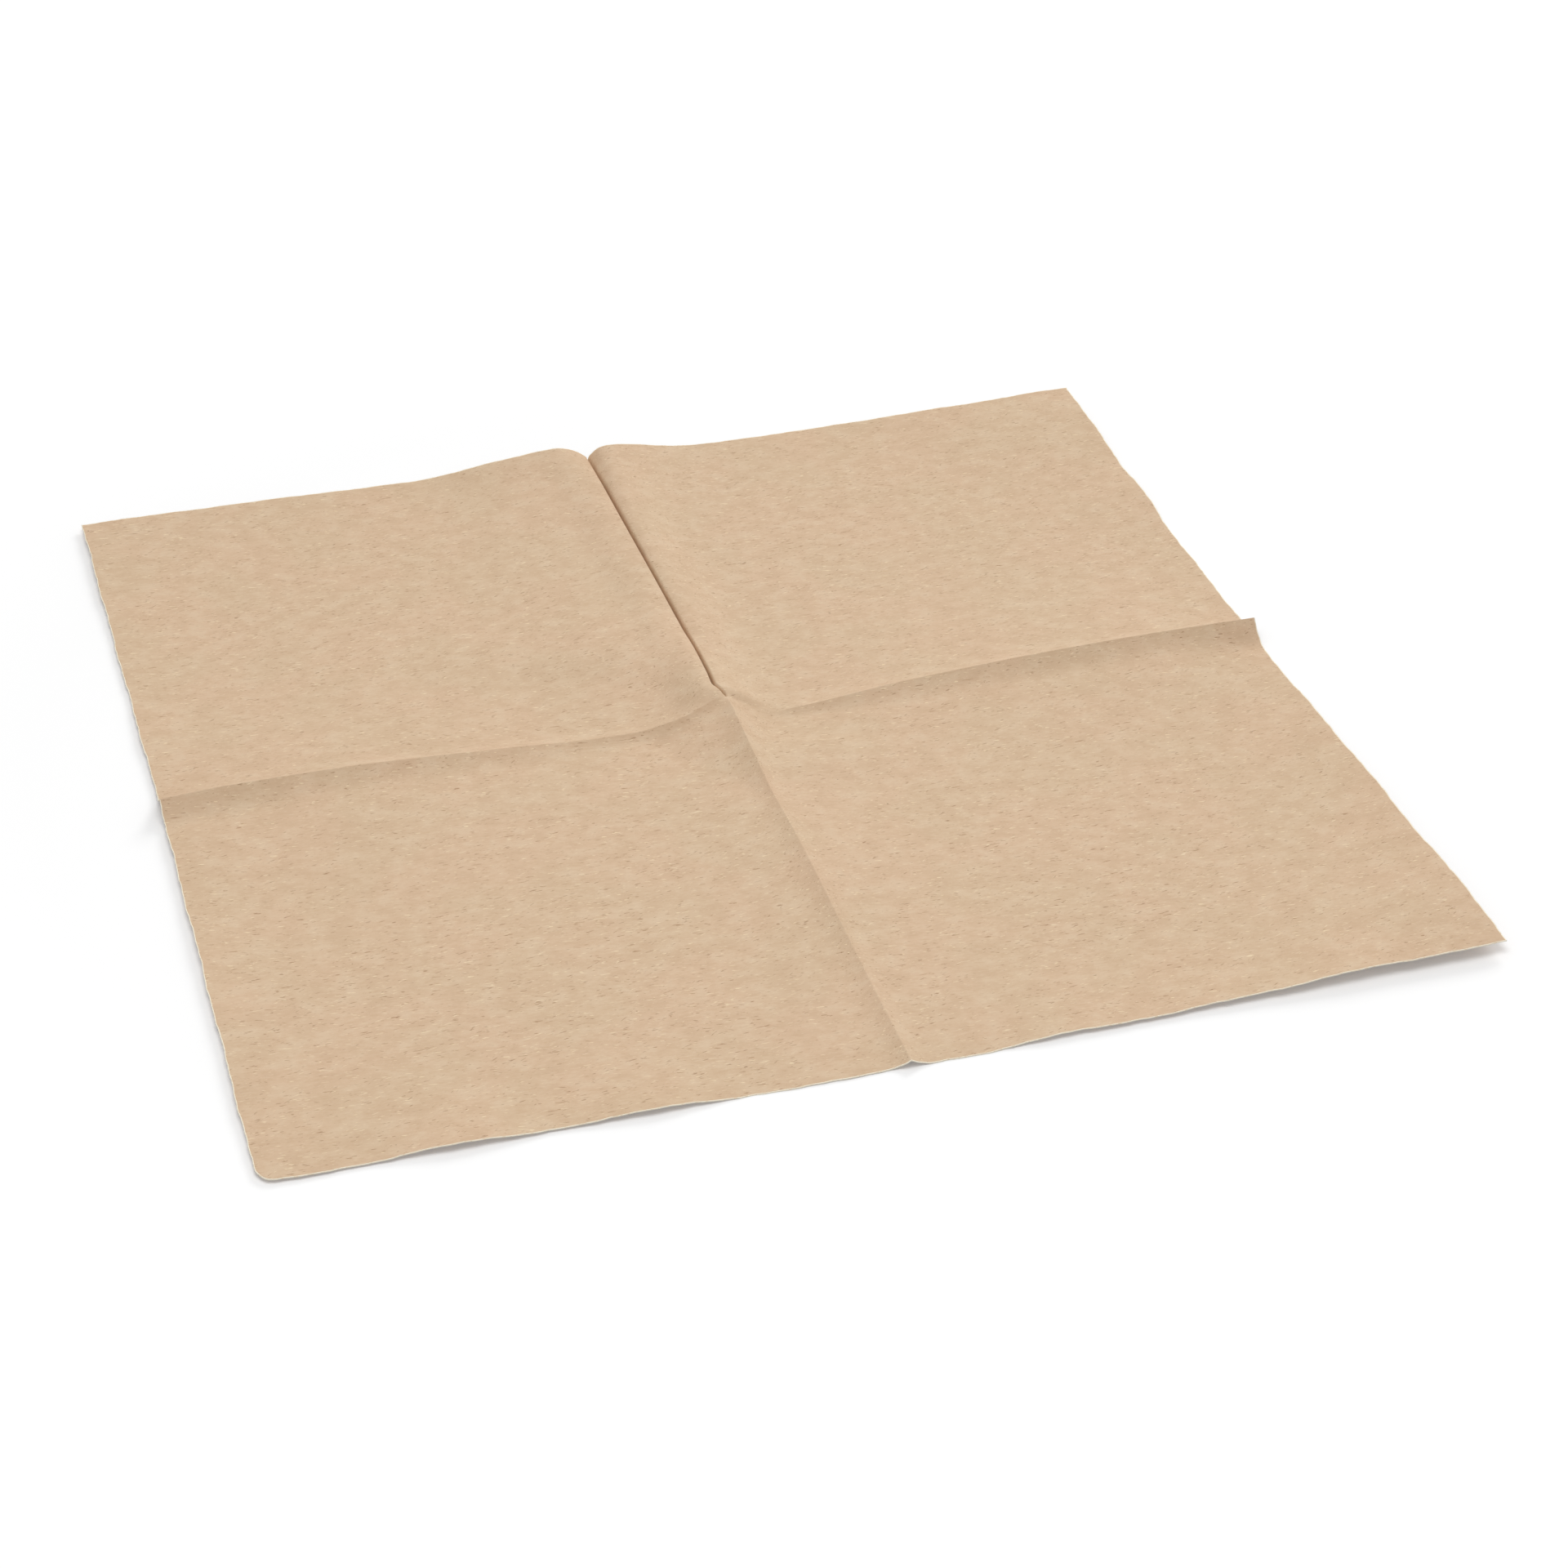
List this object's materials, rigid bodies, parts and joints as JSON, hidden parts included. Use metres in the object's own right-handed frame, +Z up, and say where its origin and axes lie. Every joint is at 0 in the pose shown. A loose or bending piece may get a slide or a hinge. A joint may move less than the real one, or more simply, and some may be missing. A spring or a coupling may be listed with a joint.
{
  "type": "paper napkin",
  "caption": "Square paper napkin of plain brown kraft paper, opened flat, with one crease from side to side and one from front to back.",
  "frame": {"origin": "centre of the bounding box's base, on the surface that the napkin lies on", "axes": "+X to the right along the ridge crease, +Y to the back edge, where the other crease is a valley, +Z up"},
  "size_m": [0.33, 0.3296, 0.0071],
  "materials": {
    "kraft_paper": "matt unbleached kraft tissue with visible fibres"
  },
  "bodies": {
    "root": {"napkin_sheet": "kraft_paper"}
  },
  "joints": []
}
